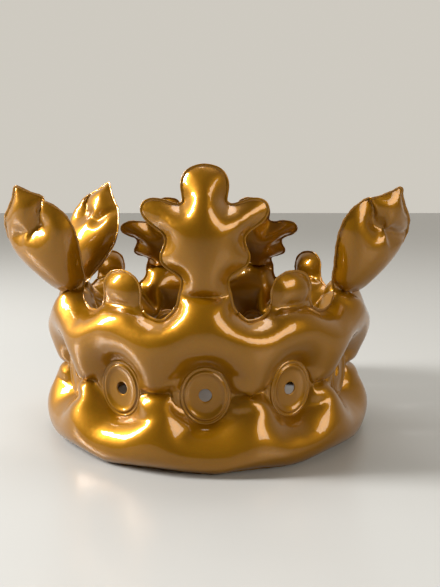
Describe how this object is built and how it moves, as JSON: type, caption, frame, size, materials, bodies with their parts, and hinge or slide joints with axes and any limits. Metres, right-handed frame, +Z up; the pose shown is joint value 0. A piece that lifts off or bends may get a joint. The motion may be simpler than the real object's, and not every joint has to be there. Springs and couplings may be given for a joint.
{
  "type": "inflatable crown",
  "caption": "Inflatable gold vinyl crown: two stacked air chambers in a ring with star, leaf and knob points, oval welds and a mouth valve.",
  "frame": {"origin": "middle of the head opening, on the table the crown stands on", "axes": "+Z up, -Y towards the front star, +X towards the right-hand leaves as seen from the front"},
  "size_m": [0.3388, 0.2822, 0.2209],
  "materials": {
    "gold_film": "satin",
    "welded_film": "satin",
    "valve_vinyl": "translucent"
  },
  "bodies": {
    "crown_body": {"lower_chamber": "gold_film", "upper_chamber": "gold_film", "foot_weld": "welded_film", "back_join": "welded_film", "valve_flange": "valve_vinyl", "star_front": "gold_film", "star_rear_right": "gold_film", "star_rear_left": "gold_film", "leaf_front_right": "gold_film", "leaf_rear_right": "gold_film", "leaf_rear_left": "gold_film", "leaf_front_left": "gold_film", "knob_front_right": "gold_film", "knob_rear_right": "gold_film", "knob_rear_left": "gold_film", "knob_front_left": "gold_film", "oval_weld_01": "welded_film", "oval_weld_02": "welded_film", "oval_weld_03": "welded_film", "oval_weld_04": "welded_film", "oval_weld_05": "welded_film", "oval_weld_06": "welded_film", "oval_weld_07": "welded_film", "oval_weld_08": "welded_film", "oval_weld_09": "welded_film", "oval_weld_10": "welded_film", "oval_weld_11": "welded_film", "valley_weld_01": "welded_film", "valley_weld_02": "welded_film", "valley_weld_03": "welded_film", "valley_weld_04": "welded_film", "valley_weld_05": "welded_film", "valley_weld_06": "welded_film", "valley_weld_07": "welded_film", "valley_weld_08": "welded_film", "valley_weld_09": "welded_film", "valley_weld_10": "welded_film", "valley_weld_11": "welded_film"},
    "stem": {"valve_stem": "valve_vinyl", "valve_flap": "valve_vinyl"},
    "stopper": {"valve_stopper": "valve_vinyl"}
  },
  "joints": [
    {"name": "stem_pull", "type": "slide", "parent": "crown_body", "child": "stem", "axis": [-0.6157, -0.788, 0], "range_m": [0, 0.009]},
    {"name": "stopper_pull", "type": "slide", "parent": "stem", "child": "stopper", "axis": [-0.6157, -0.788, 0], "range_m": [0, 0.012]}
  ]
}
